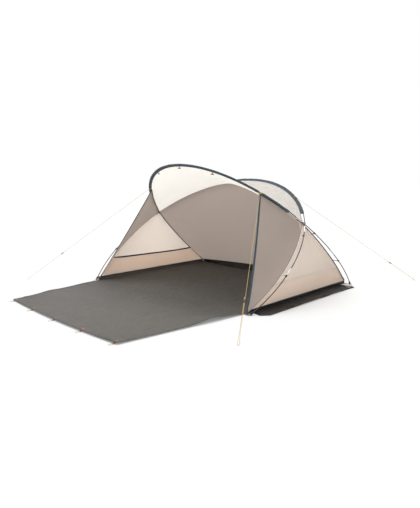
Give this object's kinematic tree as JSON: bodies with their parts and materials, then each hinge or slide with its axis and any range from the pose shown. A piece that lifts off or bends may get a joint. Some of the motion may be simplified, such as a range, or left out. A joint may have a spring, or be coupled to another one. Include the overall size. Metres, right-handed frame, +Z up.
{
  "type": "shell tent",
  "caption": "Open-fronted shell tent on crossed bent-rod hoops, with a tub floor, fold-out apron, side pockets, sand flaps and guy lines.",
  "frame": {"origin": "middle of the inner floor's underside, on the ground", "axes": "+Z up, the open side and the apron towards -Y, +X to the right of someone who looks at it along -Y"},
  "size_m": [3.0557, 3.4844, 1.209],
  "materials": {
    "cream_fabric": "light cream polyester",
    "taupe_fabric": "coated inner side, taupe",
    "beige_fabric": "sand-beige polyester",
    "petrol_fabric": "dark blue-grey polyester",
    "ground_sheet": "coated dark grey woven sheet",
    "pole": "black glass-fibre rod with metal ferrules",
    "black_plastic": "matt black",
    "webbing": "grey woven tape",
    "orange_webbing": "orange-brown woven tape and bar",
    "cord": "braided yellow-gold cord"
  },
  "bodies": {
    "shelter": {"ceiling": "cream_fabric", "back_wall": "taupe_fabric", "tub_floor": "ground_sheet", "side_wall_left": "beige_fabric", "side_wall_right": "beige_fabric", "wing_left": "taupe_fabric", "wing_right": "taupe_fabric", "pocket_left": "beige_fabric", "pocket_right": "beige_fabric", "sand_flap_left": "ground_sheet", "sand_flap_right": "ground_sheet", "front_sleeve_left": "petrol_fabric", "front_sleeve_centre": "petrol_fabric", "front_sleeve_right": "petrol_fabric", "rear_sleeve_left": "petrol_fabric", "rear_sleeve_centre": "petrol_fabric", "rear_sleeve_right": "petrol_fabric", "front_pole_1": "pole", "front_pole_2": "pole", "front_pole_3": "pole", "front_pole_4": "pole", "front_pole_5": "pole", "front_pole_6": "pole", "front_pole_7": "pole", "front_pole_8": "pole", "front_pole_9": "pole", "rear_pole_1": "pole", "rear_pole_2": "pole", "rear_pole_3": "pole", "rear_pole_4": "pole", "rear_pole_5": "pole", "rear_pole_6": "pole", "rear_pole_7": "pole", "rear_pole_8": "pole", "rear_pole_9": "pole", "clip_front_hoop_left_low": "black_plastic", "clip_front_hoop_left_high": "black_plastic", "clip_front_hoop_right_low": "black_plastic", "clip_front_hoop_right_high": "black_plastic", "clip_rear_hoop_left_low": "black_plastic", "clip_rear_hoop_left_high": "black_plastic", "clip_rear_hoop_right_low": "black_plastic", "clip_rear_hoop_right_high": "black_plastic", "anchor_front_left": "webbing", "anchor_front_right": "webbing", "anchor_rear_left": "webbing", "anchor_rear_right": "webbing", "guy_line_front_left": "cord", "guy_line_front_right": "cord", "guy_line_rear_left": "cord", "guy_line_rear_right": "cord"},
    "apron": {"apron": "ground_sheet"},
    "runner_front_left": {"runner_front_left": "black_plastic"},
    "runner_front_right": {"runner_front_right": "black_plastic"},
    "runner_rear_right": {"runner_rear_right": "black_plastic"},
    "runner_rear_left": {"runner_rear_left": "black_plastic"},
    "toggle_left": {"toggle_left": "orange_webbing"},
    "toggle_middle": {"toggle_middle": "orange_webbing"},
    "toggle_right": {"toggle_right": "orange_webbing"}
  },
  "joints": [
    {"name": "apron_hinge", "type": "hinge", "parent": "shelter", "child": "apron", "pos_m": [0, -0.81015, 0.002], "axis": [-1, 0, 0], "range_deg": [0, 95]},
    {"name": "runner_front_left_slide", "type": "slide", "parent": "shelter", "child": "runner_front_left", "axis": [-0.5259, -0.6141, -0.5885], "range_m": [0, 0.15]},
    {"name": "runner_front_right_slide", "type": "slide", "parent": "shelter", "child": "runner_front_right", "axis": [0.4289, -0.6916, -0.5811], "range_m": [0, 0.15]},
    {"name": "runner_rear_right_slide", "type": "slide", "parent": "shelter", "child": "runner_rear_right", "axis": [0.4574, 0.7045, -0.5426], "range_m": [0, 0.15]},
    {"name": "runner_rear_left_slide", "type": "slide", "parent": "shelter", "child": "runner_rear_left", "axis": [-0.4574, 0.7045, -0.5426], "range_m": [0, 0.15]},
    {"name": "toggle_left_swing", "type": "hinge", "parent": "shelter", "child": "toggle_left", "pos_m": [-0.3571, -0.51029, 1.12863], "axis": [-0.9037, 0.3268, -0.2767], "range_deg": [-35, 60]},
    {"name": "toggle_middle_swing", "type": "hinge", "parent": "shelter", "child": "toggle_middle", "pos_m": [0, -0.57293, 1.18168], "axis": [-1, 0, 0], "range_deg": [-35, 60]},
    {"name": "toggle_right_swing", "type": "hinge", "parent": "shelter", "child": "toggle_right", "pos_m": [0.3571, -0.51029, 1.12863], "axis": [-0.9037, -0.3268, 0.2767], "range_deg": [-35, 60]}
  ]
}
